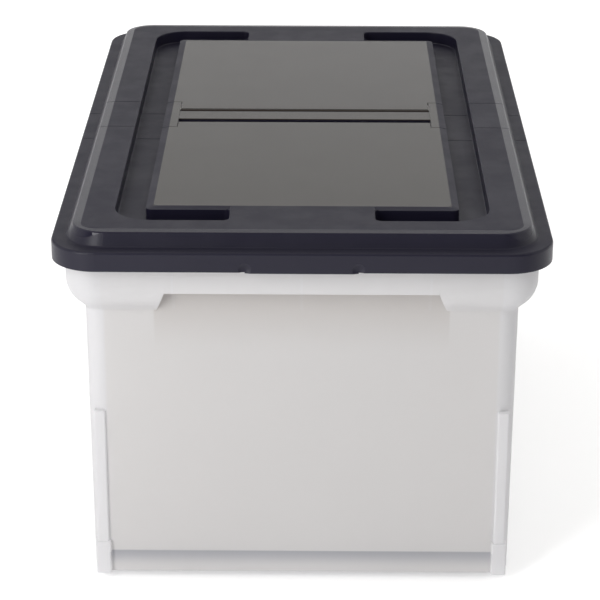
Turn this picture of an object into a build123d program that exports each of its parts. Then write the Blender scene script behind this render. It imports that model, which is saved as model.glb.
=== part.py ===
"""Stackable storage bin with a split lid: one tub, one hinge bar across the lid, two flaps.

Millimetres, +Z up.  The origin is on the floor under the middle of the bin, X runs across the
bin's width, Y runs along its length, and the front flap is at -Y.
"""

import os
from math import radians, tan

from build123d import *

# ---- Driving dimensions: the whole bin ----
lid_width = 362.0
lid_length = 584.0
lid_corner = 34.0
rail_height = 5.0  # stacking rails under the base, which stand below the tub's bottom edge
draft = 0.3  # degrees, on the tub's walls

# ---- Heights above the floor ----
floor_under = 20.8
tub_wall = 2.4
floor_top = floor_under + tub_wall
shoulder_low = 220.5
rim_top = 271.4
lid_wall = 2.4
flange_top = rim_top + lid_wall
skirt_bottom = 259.2
ridge_wall_top = 283.7
lid_top = 284.3

# ---- Tub ----
tub_half_width = 158.2  # just under the shoulder
tub_half_length = 268.8
tub_corner = 14.0
collar_step = 13.2  # how far the collar stands out from the wall below it
shoulder_high = shoulder_low + collar_step
collar_corner = 23.0
shoulder_hollow_radius = 4.0
shoulder_round_radius = 24.0
shoulder_round_top = shoulder_high + shoulder_round_radius * tan(radians(22.5))
collar_face_low = shoulder_round_top + 1.2  # foot of the flat face over each finger grip
lip_overhang = 6.4
lip_corner = 30.0
lip_thickness = 2.4
grip_half_low = 106.5  # the finger grip in the middle of each end
grip_half_high = 99.0
grip_low = 218.0
grip_high = 238.7
gusset_thickness = 1.6
gusset_pitch = 93.0
gusset_top = 260.0
corner_rib_x = 149.4
corner_rib_width = 8.6
corner_rib_depth = 16.0
corner_rib_top = 140.5
corner_foot_width = 11.6
corner_foot_depth = 17.6
corner_foot_top = 32.0
post_corner = 1.6
post_setback = 4.8  # of the ribs' middles behind the end wall's face
post_top_round = 1.2
rim_round = 0.8
rail_round = 1.2
base_edge_round = 1.0
floor_round = 1.5

# ---- Lid section, as insets from the lid's edge ----
ridge_foot = 10.3
ridge_shoulder = 15.2
ridge_edge = 21.7
ridge_foot_corner = 29.0  # corner radii of the ridge in plan, at each of the insets above
ridge_shoulder_corner = 24.5
ridge_edge_corner = 20.0
channel_outer_width = 274.0
channel_outer_length = 504.0
channel_outer_corner = 27.0
panel_width = 230.0
panel_length = 455.0
panel_corner = 5.0
bridge_width = 106.0  # the solid bridge between the two channels at each end
slot_corner = 5.0
channel_floor = 273.6
channel_wall = 2.0
panel_bevel_width = 5.5
panel_bevel_drop = 1.2
pull_lip_width = 81.0
pull_lip_drop = 0.8
dimple_radius = 8.0
dimple_depth = 1.5
dimple_height = 261.5
skirt_edge_round = 1.8
ridge_wall_round = 1.4
ridge_foot_round = 1.5
channel_edge_round = 0.8
channel_floor_round = 1.2

# ---- Hinge bar and flaps ----
bar_half = 33.0
bar_gap = 0.8  # between the bar's ends and the flaps
strip_half = 10.6
strip_top = 283.6
strip_wall = 2.0
strip_bottom = 274.3
strip_edge_round = 0.8
journal_half = 103.0  # inner faces of the T-shaped ends that carry the hinge pins
journal_bottom = 273.3
tongue_half = 102.4
front_hinge_y = -21.0
rear_hinge_y = 15.2
hinge_z = 280.9
barrel_radius = 3.2
pin_radius = 2.5
pin_length = 8.0
pin_fit = 0.06
pin_end_gap = 1.0
rail_clearance = 2.5

overlap = 0.5  # how far joined or cut shapes reach into each other
same_place = 0.02  # lengths that differ by less are taken as equal
end_sides = (-1, 1)


def edge_inset(edge):
    """How far inside the lid's outline an edge of a rounded outline lies."""
    box = edge.bounding_box()
    reach_x = max(abs(box.min.X), abs(box.max.X))
    reach_y = max(abs(box.min.Y), abs(box.max.Y))
    return min(lid_width / 2 - reach_x, lid_length / 2 - reach_y)


def level_edges(builder, height, least_inset, most_inset):
    """The builder's edges that lie flat at a height, within a band of insets from the lid's outline."""
    chosen = []
    for edge in builder.edges():
        box = edge.bounding_box()
        flat = abs(box.min.Z - height) < same_place and abs(box.max.Z - height) < same_place
        if flat and least_inset <= edge_inset(edge) <= most_inset:
            chosen.append(edge)
    return chosen


def tub_solid(inset, bottom):
    """The tub's outline as a solid, drawn in by inset on every face, from bottom to the rim."""
    shrink = (shoulder_low - bottom) * tan(radians(draft))
    rise = inset * tan(radians(22.5))
    half_width = tub_half_width - inset
    half_length = tub_half_length - inset
    collar_width = half_width + collar_step
    collar_length = half_length + collar_step
    with BuildPart() as solid:
        with BuildSketch(Plane.XY.offset(bottom)):
            RectangleRounded(2 * (half_width - shrink), 2 * (half_length - shrink), tub_corner - inset)
        with BuildSketch(Plane.XY.offset(shoulder_low + rise)):
            RectangleRounded(2 * half_width, 2 * half_length, tub_corner - inset)
        loft()
        with BuildSketch(Plane.XY.offset(shoulder_low + rise)):
            RectangleRounded(2 * half_width, 2 * half_length, tub_corner - inset)
        with BuildSketch(Plane.XY.offset(shoulder_high + rise)):
            RectangleRounded(2 * collar_width, 2 * collar_length, collar_corner - inset)
        loft()
        with BuildSketch(Plane.XY.offset(shoulder_high + rise)):
            RectangleRounded(2 * collar_width, 2 * collar_length, collar_corner - inset)
        extrude(amount=rim_top - shoulder_high - rise)
        fillet(level_edges(solid, shoulder_low + rise, 0, lid_width), shoulder_hollow_radius + inset)
        fillet(level_edges(solid, shoulder_high + rise, 0, lid_width), shoulder_round_radius - inset)
        for side in end_sides:
            wall_plane = Plane.XZ.offset(-side * (half_length + collar_step))
            with BuildSketch(wall_plane):
                with BuildLine():
                    Polyline(
                        (-grip_half_low - inset, grip_low - inset),
                        (grip_half_low + inset, grip_low - inset),
                        (grip_half_high + inset, grip_high + inset),
                        (-grip_half_high - inset, grip_high + inset),
                        close=True,
                    )
                make_face()
            extrude(amount=side * collar_step, mode=Mode.SUBTRACT)
            with BuildSketch(wall_plane):
                with Locations((0, (grip_high + inset + collar_face_low) / 2)):
                    Rectangle(2 * (grip_half_high - inset), collar_face_low - grip_high - inset)
            extrude(amount=side * collar_step)
    return solid.part


def channel_outline(grow):
    """The two C-shaped channels in the lid, as a flat sketch grown by grow all round."""
    with BuildSketch() as outline:
        RectangleRounded(
            channel_outer_width + 2 * grow, channel_outer_length + 2 * grow, channel_outer_corner + grow
        )
        RectangleRounded(
            panel_width - 2 * grow, panel_length - 2 * grow, panel_corner, mode=Mode.SUBTRACT
        )
        Rectangle(bridge_width - 2 * grow, lid_length, mode=Mode.SUBTRACT)
        slot_ends = [v for v in outline.vertices() if abs(abs(v.X) - bridge_width / 2 + grow) < same_place]
        fillet(slot_ends, slot_corner)
    return outline.sketch


# ---- Tub ----
base_shrink = (shoulder_low - rail_height) * tan(radians(draft))
base_half_width = tub_half_width - base_shrink
base_half_length = tub_half_length - base_shrink


def corner_post(width, depth, top):
    """An upright post with rounded edges that stands in each corner of an end wall."""
    with BuildPart() as post:
        with BuildSketch(Plane.XY.offset(rail_height)):
            RectangleRounded(width, depth, post_corner)
        extrude(amount=top - rail_height)
        fillet(post.edges().group_by(Axis.Z)[-1], post_top_round)
    return post.part


with BuildPart() as bin_tub:
    add(tub_solid(0, rail_height))
    # corner ribs on the end walls, on wider feet
    with GridLocations(2 * corner_rib_x, 2 * (base_half_length - post_setback), 2, 2):
        add(corner_post(corner_rib_width, corner_rib_depth, corner_rib_top))
        add(corner_post(corner_foot_width, corner_foot_depth, corner_foot_top))
    # lip under the lid
    with BuildSketch(Plane.XY.offset(rim_top - lip_thickness)):
        RectangleRounded(
            2 * (tub_half_width + collar_step + lip_overhang),
            2 * (tub_half_length + collar_step + lip_overhang),
            lip_corner,
        )
    extrude(amount=lip_thickness)
    # inside of the tub, and the hollow under its floor
    add(tub_solid(tub_wall, floor_top), mode=Mode.SUBTRACT)
    with BuildSketch(Plane.XY.offset(rail_height)):
        RectangleRounded(
            2 * (base_half_width - tub_wall), 2 * (base_half_length - tub_wall), tub_corner - tub_wall
        )
    extrude(amount=floor_under - rail_height, mode=Mode.SUBTRACT)
    # stacking rails: troughs pressed down from the floor, which drop into the channels of a lid
    with BuildSketch():
        add(channel_outline(-rail_clearance))
    extrude(amount=floor_top)
    with BuildSketch(Plane.XY.offset(tub_wall)):
        add(channel_outline(-rail_clearance - tub_wall))
    extrude(amount=floor_top, mode=Mode.SUBTRACT)
    # rounded edges: rails, lip, bottom edge and the inside of the floor
    fillet(level_edges(bin_tub, 0, 0, lid_width), rail_round)
    fillet(level_edges(bin_tub, rim_top, 0, lid_width / 2 - tub_half_width - collar_step), rim_round)
    base_edge_inset = lid_width / 2 - base_half_width + tub_wall / 2
    fillet(level_edges(bin_tub, rail_height, 0, base_edge_inset), base_edge_round)
    fillet(level_edges(bin_tub, floor_top, 0, lid_width), floor_round)
    # gussets inside the collar, behind the finger grips
    for side in end_sides:
        with BuildSketch(Plane.YZ):
            with BuildLine():
                ledge = grip_high + tub_wall - overlap
                inner_face = side * (tub_half_length - tub_wall)
                outer_face = inner_face + side * (collar_step + overlap)
                Polyline(
                    (inner_face, ledge), (outer_face, ledge), (outer_face, gusset_top), close=True
                )
            make_face()
        with Locations((-gusset_pitch, 0, 0), (0, 0, 0), (gusset_pitch, 0, 0)):
            add(extrude(amount=gusset_thickness / 2, both=True, mode=Mode.PRIVATE))
bin_tub.part.label = "bin_tub"

# ---- Lid shell: the section that the hinge bar and both flaps are cut from ----
def lid_outline(inset, corner):
    """A sketch of the lid's rounded outline, drawn in by inset."""
    with BuildSketch() as outline:
        RectangleRounded(lid_width - 2 * inset, lid_length - 2 * inset, corner)
    return outline.sketch


# the bevel along the edges of the centre panels where they border the channels
with BuildPart() as panel_bevel:
    with BuildSketch(Plane.XY.offset(lid_top - panel_bevel_drop)):
        RectangleRounded(panel_width + 2 * overlap, panel_length + 2 * overlap, panel_corner)
    extrude(amount=panel_bevel_drop + overlap)
    with BuildSketch(Plane.XY.offset(lid_top - panel_bevel_drop)):
        RectangleRounded(panel_width, panel_length, panel_corner)
    with BuildSketch(Plane.XY.offset(lid_top)):
        RectangleRounded(
            panel_width - 2 * panel_bevel_width, panel_length - 2 * panel_bevel_width, panel_corner
        )
    loft(mode=Mode.SUBTRACT)
    with BuildSketch(Plane.XY.offset(lid_top)):
        RectangleRounded(
            panel_width - 2 * panel_bevel_width, panel_length - 2 * panel_bevel_width, panel_corner
        )
    extrude(amount=2 * overlap, mode=Mode.SUBTRACT)
    with BuildSketch(Plane.XY.offset(lid_top - panel_bevel_drop)):
        Rectangle(bridge_width, lid_length)
    extrude(amount=panel_bevel_drop + 2 * overlap, mode=Mode.SUBTRACT)

with BuildPart() as lid_shell:
    with BuildSketch(Plane.XY.offset(skirt_bottom)):
        add(lid_outline(0, lid_corner))
    extrude(amount=flange_top - skirt_bottom)
    fillet(lid_shell.edges().group_by(Axis.Z)[-1], skirt_edge_round)
    # raised ridge with sloped walls and a smooth, slightly sloped border
    for low, high, low_inset, high_inset, low_corner, high_corner in (
        (
            flange_top - overlap,
            ridge_wall_top,
            ridge_foot,
            ridge_shoulder,
            ridge_foot_corner,
            ridge_shoulder_corner,
        ),
        (
            ridge_wall_top,
            lid_top,
            ridge_shoulder,
            ridge_edge,
            ridge_shoulder_corner,
            ridge_edge_corner,
        ),
    ):
        with BuildSketch(Plane.XY.offset(low)):
            add(lid_outline(low_inset, low_corner))
        with BuildSketch(Plane.XY.offset(high)):
            add(lid_outline(high_inset, high_corner))
        loft()
    # hollow underside
    with BuildSketch(Plane.XY.offset(skirt_bottom)):
        add(lid_outline(lid_wall, lid_corner - lid_wall))
    extrude(amount=rim_top - skirt_bottom, mode=Mode.SUBTRACT)
    with BuildSketch(Plane.XY.offset(rim_top)):
        add(lid_outline(ridge_foot + lid_wall, ridge_foot_corner - lid_wall))
    with BuildSketch(Plane.XY.offset(lid_top - lid_wall)):
        add(lid_outline(ridge_shoulder + lid_wall, ridge_shoulder_corner - lid_wall))
    loft(mode=Mode.SUBTRACT)
    # channels, with their own walls and floor hanging under the lid
    with BuildSketch(Plane.XY.offset(channel_floor - lid_wall)):
        add(channel_outline(channel_wall))
    extrude(amount=lid_top - lid_wall / 2 - channel_floor + lid_wall)
    with BuildSketch(Plane.XY.offset(channel_floor)):
        add(channel_outline(0))
    extrude(amount=lid_top - channel_floor, mode=Mode.SUBTRACT)
    add(panel_bevel.part, mode=Mode.SUBTRACT)
    # rounded edges: top and foot of the ridge's outer wall, channel edges, channel floor
    for height, inset, radius in (
        (ridge_wall_top, ridge_shoulder, ridge_wall_round),
        (flange_top, ridge_foot, ridge_foot_round),
    ):
        fillet(level_edges(lid_shell, height, inset - overlap, inset + overlap), radius)
    fillet(level_edges(lid_shell, lid_top, ridge_edge + overlap, lid_width), channel_edge_round)
    fillet(level_edges(lid_shell, channel_floor, ridge_edge, lid_width), channel_floor_round)

# ---- Hinge bar ----
# cross strip between the flaps, a channel open underneath
with BuildPart() as cross_strip:
    with BuildSketch(Plane.XY.offset(strip_bottom)):
        Rectangle(2 * journal_half, 2 * strip_half)
    extrude(amount=strip_top - strip_bottom)
    fillet(cross_strip.edges().group_by(Axis.Z)[-1].filter_by(Axis.X), strip_edge_round)
    with BuildSketch(Plane.XY.offset(strip_bottom)):
        Rectangle(2 * (journal_half - strip_wall), 2 * (strip_half - strip_wall))
    extrude(amount=strip_top - strip_wall - strip_bottom, mode=Mode.SUBTRACT)

with BuildPart() as hinge_bar:
    add(lid_shell.part)
    with BuildSketch(Plane.XY.offset(skirt_bottom)):
        Rectangle(lid_width, 2 * bar_half)
        Rectangle(2 * journal_half, 2 * bar_half, mode=Mode.SUBTRACT)
    extrude(amount=lid_top - skirt_bottom, mode=Mode.INTERSECT)
    # T-shaped ends, thick enough to carry the pins
    with BuildSketch(Plane.XY.offset(journal_bottom)):
        with GridLocations(journal_half + panel_width / 2, 0, 2, 1):
            Rectangle(panel_width / 2 - journal_half, 2 * bar_half)
    extrude(amount=lid_top - lid_wall / 2 - journal_bottom)
    add(cross_strip.part)
    # bearings for the flaps' pins
    for end in end_sides:
        with BuildSketch(Plane.YZ.offset(end * journal_half)):
            with Locations((front_hinge_y, hinge_z), (rear_hinge_y, hinge_z)):
                Circle(pin_radius + pin_fit)
        extrude(amount=end * (pin_length + pin_end_gap), mode=Mode.SUBTRACT)
hinge_bar.part.label = "hinge_bar"

# ---- Flaps ----
flap_parts = {}
flap_start = bar_half + bar_gap
tongue_root = flap_start + 2 * overlap
for flap_name, side, hinge_y in (("front_flap", -1, front_hinge_y), ("rear_flap", 1, rear_hinge_y)):
    with BuildPart() as flap:
        add(lid_shell.part)
        with BuildSketch(Plane.XY.offset(skirt_bottom)):
            with Locations((0, side * (flap_start + lid_length / 2))):
                Rectangle(lid_width, lid_length)
        extrude(amount=lid_top - skirt_bottom, mode=Mode.INTERSECT)
        # tongue that reaches between the bar's T-shaped ends
        with BuildSketch(Plane.XY.offset(lid_top - lid_wall)):
            with Locations((0, (hinge_y + side * tongue_root) / 2)):
                Rectangle(2 * tongue_half, tongue_root - abs(hinge_y))
        extrude(amount=lid_wall)
        with BuildSketch(Plane.YZ.offset(-tongue_half)):
            with Locations((hinge_y, hinge_z)):
                Circle(barrel_radius)
        extrude(amount=2 * tongue_half)
        with BuildSketch(Plane.YZ.offset(-tongue_half - pin_length)):
            with Locations((hinge_y, hinge_z)):
                Circle(pin_radius)
        extrude(amount=2 * (tongue_half + pin_length))
        # pull lip under the middle of the skirt
        with BuildSketch(Plane.XY.offset(skirt_bottom - pull_lip_drop)):
            with Locations((0, side * (lid_length / 2 - lid_wall / 2))):
                Rectangle(pull_lip_width, lid_wall)
        extrude(amount=pull_lip_drop)
        dimple_y = side * (lid_length / 2 + dimple_radius - dimple_depth)
        with GridLocations(pull_lip_width, 0, 2, 1):
            with Locations((0, dimple_y, dimple_height)):
                Sphere(dimple_radius, mode=Mode.SUBTRACT)
    flap_parts[flap_name] = flap.part

os.makedirs("parts", exist_ok=True)
export_step(bin_tub.part, "parts/bin_tub.step")
export_step(hinge_bar.part, "parts/hinge_bar.step")
for flap_name, flap_part in flap_parts.items():
    flap_part.label = flap_name
    export_step(flap_part, f"parts/{flap_name}.step")
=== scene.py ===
import math

import bpy
from mathutils import Matrix, Vector


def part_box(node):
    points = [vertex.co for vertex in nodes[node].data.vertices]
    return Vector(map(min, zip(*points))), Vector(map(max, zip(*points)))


# Looks for a frosted storage bin with a dark split lid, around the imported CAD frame.
# Everything is in metres: +Z up, the front flap at -Y.

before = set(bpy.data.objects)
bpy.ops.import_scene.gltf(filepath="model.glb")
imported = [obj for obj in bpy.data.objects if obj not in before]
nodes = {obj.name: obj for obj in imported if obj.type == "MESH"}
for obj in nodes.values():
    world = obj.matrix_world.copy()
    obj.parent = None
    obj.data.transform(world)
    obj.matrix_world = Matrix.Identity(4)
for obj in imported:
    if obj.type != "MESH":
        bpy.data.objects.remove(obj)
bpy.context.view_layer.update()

lid_low, lid_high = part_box("front_flap")
bar_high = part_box("hinge_bar")[1]
half_width = bar_high.x
half_length = -lid_low.y
lid_top = lid_high.z

# the lid's measures, for the zones of its material
lid_corner = 0.034
panel_half_x = 0.1095
panel_half_y = 0.2215
panel_band_low = 0.0016  # below the lid's top, where the smooth zone fades in
panel_band_high = 0.0011
border_outer_inset = (0.0148, 0.0154)
border_inner_inset = (0.0214, 0.0220)
edge_blur = 0.0004

# the tub's measures, for the zones of its material
tub_corner_x = 0.1445
tub_corner_y = 0.2545
tub_collar_low = 0.221
tub_gusset_x = 0.093
tub_face_y = 0.2688
tub_grip_x = 0.1075
tub_grip_high = 0.2387
tub_floor_z = 0.0232

# base colours, linear
lid_navy_dark = (0.0080, 0.0070, 0.0170)
lid_navy_pale = (0.0125, 0.0112, 0.0240)
panel_dark = (0.0150, 0.0100, 0.0065)
wall_dull = (0.800, 0.786, 0.783)
wall_bright = (0.832, 0.820, 0.817)
# partly painted light: the whiter look of thick plastic, where less of the dim inside shows through
thick_lit_white = (0.845, 0.840, 0.852)
under_floor_grey = (0.540, 0.543, 0.575)
grip_shade = (0.690, 0.660, 0.640)

# roughness, from the least to the most
grained_roughness = (0.54, 0.62)
smooth_roughness = (0.245, 0.260)
wall_roughness = (0.34, 0.42)
upright_gloss = 0.24  # taken off the roughness of the lid's upright faces

# light
world_strength = 1.10
world_strength_front = 0.38
dim_direction = (-0.12, -0.80, 0.58)
floor_glow = 0.36
key_watts = 20.0


# ---- Shader helpers ----
def new_material(name):
    """An empty node material: its tree and its output node."""
    material = bpy.data.materials.new(name)
    material.use_nodes = True
    tree = material.node_tree
    tree.nodes.clear()
    output = tree.nodes.new("ShaderNodeOutputMaterial")
    return material, tree, output


def math_node(tree, operation, first, second=None):
    """One Math node; its inputs are sockets or numbers. Returns its output socket."""
    node = tree.nodes.new("ShaderNodeMath")
    node.operation = operation
    for index, value in enumerate((first, second)):
        if value is None:
            continue
        if isinstance(value, bpy.types.NodeSocket):
            tree.links.new(value, node.inputs[index])
        else:
            node.inputs[index].default_value = value
    return node.outputs[0]


def ramp(tree, value, low, high, out_low=0.0, out_high=1.0):
    """A smooth step of value from low to high."""
    node = tree.nodes.new("ShaderNodeMapRange")
    node.interpolation_type = "SMOOTHSTEP"
    tree.links.new(value, node.inputs["Value"])
    node.inputs["From Min"].default_value = low
    node.inputs["From Max"].default_value = high
    node.inputs["To Min"].default_value = out_low
    node.inputs["To Max"].default_value = out_high
    return node.outputs["Result"]


def noise(tree, vector, scale, detail=3.0, roughness=0.5):
    """A noise texture's value socket."""
    node = tree.nodes.new("ShaderNodeTexNoise")
    tree.links.new(vector, node.inputs["Vector"])
    node.inputs["Scale"].default_value = scale
    node.inputs["Detail"].default_value = detail
    node.inputs["Roughness"].default_value = roughness
    return node.outputs["Fac"]


def mix_colour(tree, factor, first, second):
    """A colour mix; colours are tuples or sockets."""
    node = tree.nodes.new("ShaderNodeMix")
    node.data_type = "RGBA"
    tree.links.new(factor, node.inputs["Factor"])
    for name, value in (("A", first), ("B", second)):
        socket = [s for s in node.inputs if s.name == name and s.type == "RGBA"][0]
        if isinstance(value, bpy.types.NodeSocket):
            tree.links.new(value, socket)
        else:
            socket.default_value = (*value, 1.0)
    return [s for s in node.outputs if s.type == "RGBA"][0]


def bump(tree, height, strength, distance, normal=None):
    """A bump node's normal socket."""
    node = tree.nodes.new("ShaderNodeBump")
    tree.links.new(height, node.inputs["Height"])
    node.inputs["Strength"].default_value = strength
    node.inputs["Distance"].default_value = distance
    if normal is not None:
        tree.links.new(normal, node.inputs["Normal"])
    return node.outputs["Normal"]


def object_axes(tree):
    """Object coordinates as a vector and as separate axes."""
    place = tree.nodes.new("ShaderNodeTexCoord").outputs["Object"]
    split = tree.nodes.new("ShaderNodeSeparateXYZ")
    tree.links.new(place, split.inputs[0])
    return place, split.outputs


def rounded_inset(tree, axes, half_x, half_y, corner):
    """How far inside a rounded rectangle a point lies, in plan."""
    reach_x = math_node(tree, "SUBTRACT", math_node(tree, "ABSOLUTE", axes["X"]), half_x - corner)
    reach_y = math_node(tree, "SUBTRACT", math_node(tree, "ABSOLUTE", axes["Y"]), half_y - corner)
    out_x = math_node(tree, "MAXIMUM", reach_x, 0.0)
    out_y = math_node(tree, "MAXIMUM", reach_y, 0.0)
    square_x = math_node(tree, "POWER", out_x, 2.0)
    square_y = math_node(tree, "POWER", out_y, 2.0)
    squares = math_node(tree, "ADD", square_x, square_y)
    outside = math_node(tree, "SQRT", squares)
    inside = math_node(tree, "MINIMUM", math_node(tree, "MAXIMUM", reach_x, reach_y), 0.0)
    distance = math_node(tree, "ADD", outside, inside)
    return math_node(tree, "SUBTRACT", corner, distance)


# ---- Lid: near-black navy polypropylene, grained, with smoother panels and border ----
def lid_material():
    """The material of the hinge bar and both flaps."""
    material, tree, output = new_material("dark_lid_moulded")
    shader = tree.nodes.new("ShaderNodeBsdfPrincipled")
    tree.links.new(shader.outputs[0], output.inputs[0])
    place, axes = object_axes(tree)
    # smooth zones: the centre panels inside their bevel, and the ridge's border
    reach_x = math_node(tree, "ABSOLUTE", axes["X"])
    reach_y = math_node(tree, "ABSOLUTE", axes["Y"])
    in_x = ramp(tree, reach_x, panel_half_x - edge_blur, panel_half_x + edge_blur, 1.0, 0.0)
    in_y = ramp(tree, reach_y, panel_half_y - edge_blur, panel_half_y + edge_blur, 1.0, 0.0)
    high = ramp(tree, axes["Z"], lid_top - panel_band_low, lid_top - panel_band_high)
    panel = math_node(tree, "MULTIPLY", math_node(tree, "MULTIPLY", in_x, in_y), high)
    inset = rounded_inset(tree, axes, half_width, half_length, lid_corner)
    border_in = ramp(tree, inset, *border_outer_inset)
    border_out = ramp(tree, inset, *border_inner_inset, 1.0, 0.0)
    border = math_node(tree, "MULTIPLY", border_in, border_out)
    smooth = math_node(tree, "MAXIMUM", panel, border)
    # colour: slow drifts of pigment, and a browner black on the panels
    drift = noise(tree, place, 9.0, 2.0)
    colour = mix_colour(tree, drift, lid_navy_dark, lid_navy_pale)
    colour = mix_colour(tree, panel, colour, panel_dark)
    tree.links.new(colour, shader.inputs["Base Color"])
    # roughness: grained zones scatter, smooth zones shine, both a little uneven
    cloud = noise(tree, place, 38.0, 4.0, 0.6)
    rough_grained = ramp(tree, cloud, 0.3, 0.7, *grained_roughness)
    rough_smooth = ramp(tree, cloud, 0.3, 0.7, *smooth_roughness)
    change = math_node(tree, "MULTIPLY", math_node(tree, "SUBTRACT", rough_smooth, rough_grained), smooth)
    rough = math_node(tree, "ADD", rough_grained, change)
    # upright faces are glossier
    turned = tree.nodes.new("ShaderNodeSeparateXYZ")
    tree.links.new(tree.nodes.new("ShaderNodeTexCoord").outputs["Normal"], turned.inputs[0])
    upright = ramp(tree, math_node(tree, "ABSOLUTE", turned.outputs["Z"]), 0.55, 0.85, 1.0, 0.0)
    rough = math_node(tree, "SUBTRACT", rough, math_node(tree, "MULTIPLY", upright, upright_gloss))
    tree.links.new(rough, shader.inputs["Roughness"])
    shader.inputs["IOR"].default_value = 1.34
    # bump: fine moulded grain, faded out on the smooth zones, and a faint sink in the sheet
    grain = noise(tree, place, 1500.0, 2.0, 0.6)
    grained = math_node(tree, "SUBTRACT", 1.0, math_node(tree, "MULTIPLY", smooth, 0.93))
    sink = noise(tree, place, 14.0, 1.0)
    wavy = bump(tree, sink, 0.05, 0.0012)
    height = math_node(tree, "MULTIPLY", grain, grained)
    tree.links.new(bump(tree, height, 0.35, 0.00022, wavy), shader.inputs["Normal"])
    return material


# ---- Tub: frosted natural polypropylene that lets light through ----
def tub_material():
    """The material of the tub, half of it letting light through."""
    material, tree, output = new_material("frosted_tub_moulded")
    shader = tree.nodes.new("ShaderNodeBsdfPrincipled")
    through = tree.nodes.new("ShaderNodeBsdfTranslucent")
    blend = tree.nodes.new("ShaderNodeMixShader")
    tree.links.new(shader.outputs[0], blend.inputs[1])
    tree.links.new(through.outputs[0], blend.inputs[2])
    tree.links.new(blend.outputs[0], output.inputs[0])
    blend.inputs[0].default_value = 0.5
    place, axes = object_axes(tree)
    reach_x = math_node(tree, "ABSOLUTE", axes["X"])
    reach_y = math_node(tree, "ABSOLUTE", axes["Y"])
    # whiter where the plastic is thick: corners, ribs, the collar and its gussets; partly the denser
    # plastic, and partly painted light, as less of the dim inside shows through there
    corner_x = ramp(tree, reach_x, tub_corner_x - 0.002, tub_corner_x + 0.001)
    corner_y = ramp(tree, reach_y, tub_corner_y - 0.002, tub_corner_y + 0.001)
    corner = math_node(tree, "MULTIPLY", corner_x, corner_y)
    collar = ramp(tree, axes["Z"], tub_collar_low - 0.001, tub_collar_low + 0.002)
    from_gusset = math_node(tree, "ABSOLUTE", math_node(tree, "SUBTRACT", reach_x, tub_gusset_x))
    gusset = ramp(tree, math_node(tree, "MINIMUM", from_gusset, reach_x), 0.0006, 0.0016, 1.0, 0.0)
    gusset = math_node(tree, "MULTIPLY", math_node(tree, "MULTIPLY", gusset, collar), corner_y)
    thick_and_lit = math_node(tree, "MAXIMUM", corner, math_node(tree, "MULTIPLY", collar, 0.62))
    # the wall behind the finger grips is thin, and shaded by the collar above it
    grip_wall = ramp(tree, reach_y, tub_face_y + 0.0006, tub_face_y + 0.0012, 1.0, 0.0)
    grip_wide = ramp(tree, reach_x, tub_grip_x - 0.001, tub_grip_x + 0.001, 1.0, 0.0)
    grip_wall = math_node(tree, "MULTIPLY", math_node(tree, "MULTIPLY", grip_wall, grip_wide), corner_y)
    thick_and_lit = math_node(tree, "MULTIPLY", thick_and_lit, math_node(tree, "SUBTRACT", 1.0, grip_wall))
    thick_and_lit = math_node(tree, "MAXIMUM", thick_and_lit, gusset)
    # dimmer under the tub's floor, where no light comes through from inside
    under = ramp(tree, axes["Z"], tub_floor_z - 0.0006, tub_floor_z + 0.0006, 1.0, 0.0)
    fade = ramp(tree, axes["Z"], tub_floor_z - 0.014, tub_floor_z, 0.1, 1.0)
    not_corner = math_node(tree, "SUBTRACT", 1.0, corner)
    dim = math_node(tree, "MULTIPLY", math_node(tree, "MULTIPLY", under, fade), not_corner)
    cloud = noise(tree, place, 6.0, 3.0)
    wall_colour = mix_colour(tree, cloud, wall_dull, wall_bright)
    # painted light in part: the thick places are mixed whiter
    colour = mix_colour(tree, thick_and_lit, wall_colour, thick_lit_white)
    colour = mix_colour(tree, dim, colour, under_floor_grey)
    shade = ramp(tree, axes["Z"], tub_grip_high - 0.055, tub_grip_high)
    shade = math_node(tree, "MULTIPLY", math_node(tree, "MULTIPLY", shade, grip_wall), 0.8)
    colour = mix_colour(tree, shade, colour, grip_shade)
    tree.links.new(colour, shader.inputs["Base Color"])
    tree.links.new(colour, through.inputs["Color"])
    patch = noise(tree, place, 45.0, 4.0, 0.6)
    tree.links.new(ramp(tree, patch, 0.3, 0.7, *wall_roughness), shader.inputs["Roughness"])
    shader.inputs["IOR"].default_value = 1.49
    frost = noise(tree, place, 900.0, 2.0)
    sink = noise(tree, place, 11.0, 1.0)
    wavy = bump(tree, sink, 0.25, 0.0015)
    tree.links.new(bump(tree, frost, 0.25, 0.0001, wavy), shader.inputs["Normal"])
    return material


def dress(node_name, material):
    """Gives every material slot of a CAD node one material."""
    node = nodes[node_name]
    for index in range(len(node.material_slots)):
        node.material_slots[index].material = material


lid_look = lid_material()
tub_look = tub_material()
for lid_node in ("hinge_bar", "front_flap", "rear_flap"):
    dress(lid_node, lid_look)
dress("bin_tub", tub_look)


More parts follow.
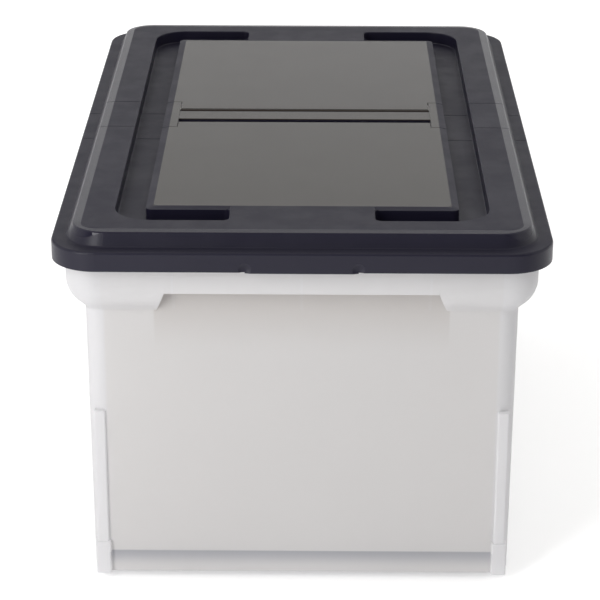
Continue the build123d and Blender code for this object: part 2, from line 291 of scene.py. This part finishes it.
# ---- Stage: a pale sweep, light all round, a softbox at the left and a dark card at the right ----
def stage_floor():
    """A wide floor that sweeps up into a backdrop far behind the bin."""
    reach = 14.0
    back = 9.0
    bend = 3.0
    rise = 9.0
    steps = 24
    profile = [(-reach, 0.0), (back - bend, 0.0)]
    for step in range(1, steps + 1):
        angle = math.pi / 2 * step / steps
        profile.append((back - bend + bend * math.sin(angle), bend - bend * math.cos(angle)))
    profile.append((back, rise))
    vertices = [(side * reach, y, z) for y, z in profile for side in (-1, 1)]
    faces = [(2 * i, 2 * i + 1, 2 * i + 3, 2 * i + 2) for i in range(len(profile) - 1)]
    mesh = bpy.data.meshes.new("studio_floor")
    mesh.from_pydata(vertices, [], faces)
    for polygon in mesh.polygons:
        polygon.use_smooth = True
    floor = bpy.data.objects.new("studio_floor", mesh)
    bpy.context.scene.collection.objects.link(floor)
    material, tree, output = new_material("studio_paper")
    shader = tree.nodes.new("ShaderNodeBsdfPrincipled")
    tree.links.new(shader.outputs[0], output.inputs[0])
    shader.inputs["Base Color"].default_value = (0.90, 0.90, 0.90, 1.0)
    shader.inputs["Roughness"].default_value = 0.9
    shader.inputs["Specular IOR Level"].default_value = 0.0
    shader.inputs["Emission Color"].default_value = (1.0, 1.0, 1.0, 1.0)
    shader.inputs["Emission Strength"].default_value = floor_glow
    mesh.materials.append(material)


def softbox(name, place, aim, size_x, size_y, watts):
    """A rectangular area light at place, turned to aim."""
    data = bpy.data.lights.new(name, "AREA")
    data.shape = "RECTANGLE"
    data.size = size_x
    data.size_y = size_y
    data.energy = watts
    light = bpy.data.objects.new(name, data)
    light.location = place
    light.rotation_mode = "QUATERNION"
    light.rotation_quaternion = (Vector(aim) - Vector(place)).to_track_quat("-Z", "Y")
    bpy.context.scene.collection.objects.link(light)


def studio_world():
    """White light from all round, dimmer from high in front."""
    world = bpy.data.worlds.new("studio")
    world.use_nodes = True
    bpy.context.scene.world = world
    tree = world.node_tree
    background = tree.nodes["Background"]
    background.inputs["Color"].default_value = (1.0, 0.995, 0.985, 1.0)
    direction = tree.nodes.new("ShaderNodeTexCoord").outputs["Generated"]
    facing = tree.nodes.new("ShaderNodeVectorMath")
    facing.operation = "DOT_PRODUCT"
    tree.links.new(direction, facing.inputs[0])
    facing.inputs[1].default_value = dim_direction
    strength = ramp(tree, facing.outputs["Value"], 0.35, 0.85, world_strength, world_strength_front)
    tree.links.new(strength, background.inputs["Strength"])


def flag(name, place, aim, width, height):
    """A dark card outside the picture that keeps light off one side of the bin."""
    across = (Vector(aim) - Vector(place)).cross(Vector((0, 0, 1))).normalized() * width / 2
    up = Vector((0, 0, height))
    foot = Vector(place)
    mesh = bpy.data.meshes.new(name)
    corners = [foot - across, foot + across, foot + across + up, foot - across + up]
    mesh.from_pydata(corners, [], [(0, 1, 2, 3)])
    card = bpy.data.objects.new(name, mesh)
    bpy.context.scene.collection.objects.link(card)
    material, tree, output = new_material(name)
    shader = tree.nodes.new("ShaderNodeBsdfDiffuse")
    shader.inputs["Color"].default_value = (0.05, 0.05, 0.05, 1.0)
    tree.links.new(shader.outputs[0], output.inputs[0])
    mesh.materials.append(material)
    card.visible_camera = False


stage_floor()
studio_world()
softbox("key_left", (-1.02, -1.50, 0.88), (0.0, -0.29, 0.25), 0.50, 1.70, key_watts)
flag("flag_right", (1.0, -1.0, 0.02), (0.0, 0.0, 0.2), 0.9, 0.72)
bpy.context.scene.view_settings.view_transform = "Standard"

# ---- Camera: in front of the bin, a little right of its middle, looking down at the lid ----
camera_data = bpy.data.cameras.new("camera")
camera_data.sensor_width = 36.0
camera_data.lens = 137.8
camera = bpy.data.objects.new("camera", camera_data)
heading = math.radians(0.447)
pitch = math.radians(22.208)
roll = math.radians(0.135)
tilt = Matrix.Rotation(math.pi / 2 - pitch, 4, "X") @ Matrix.Rotation(roll, 4, "Z")
turn = Matrix.Rotation(heading, 4, "Z") @ tilt
camera_place = Matrix.Translation((0.01074, -1.8082, 0.85755))
camera.matrix_world = camera_place @ turn
bpy.context.scene.collection.objects.link(camera)
bpy.context.scene.camera = camera
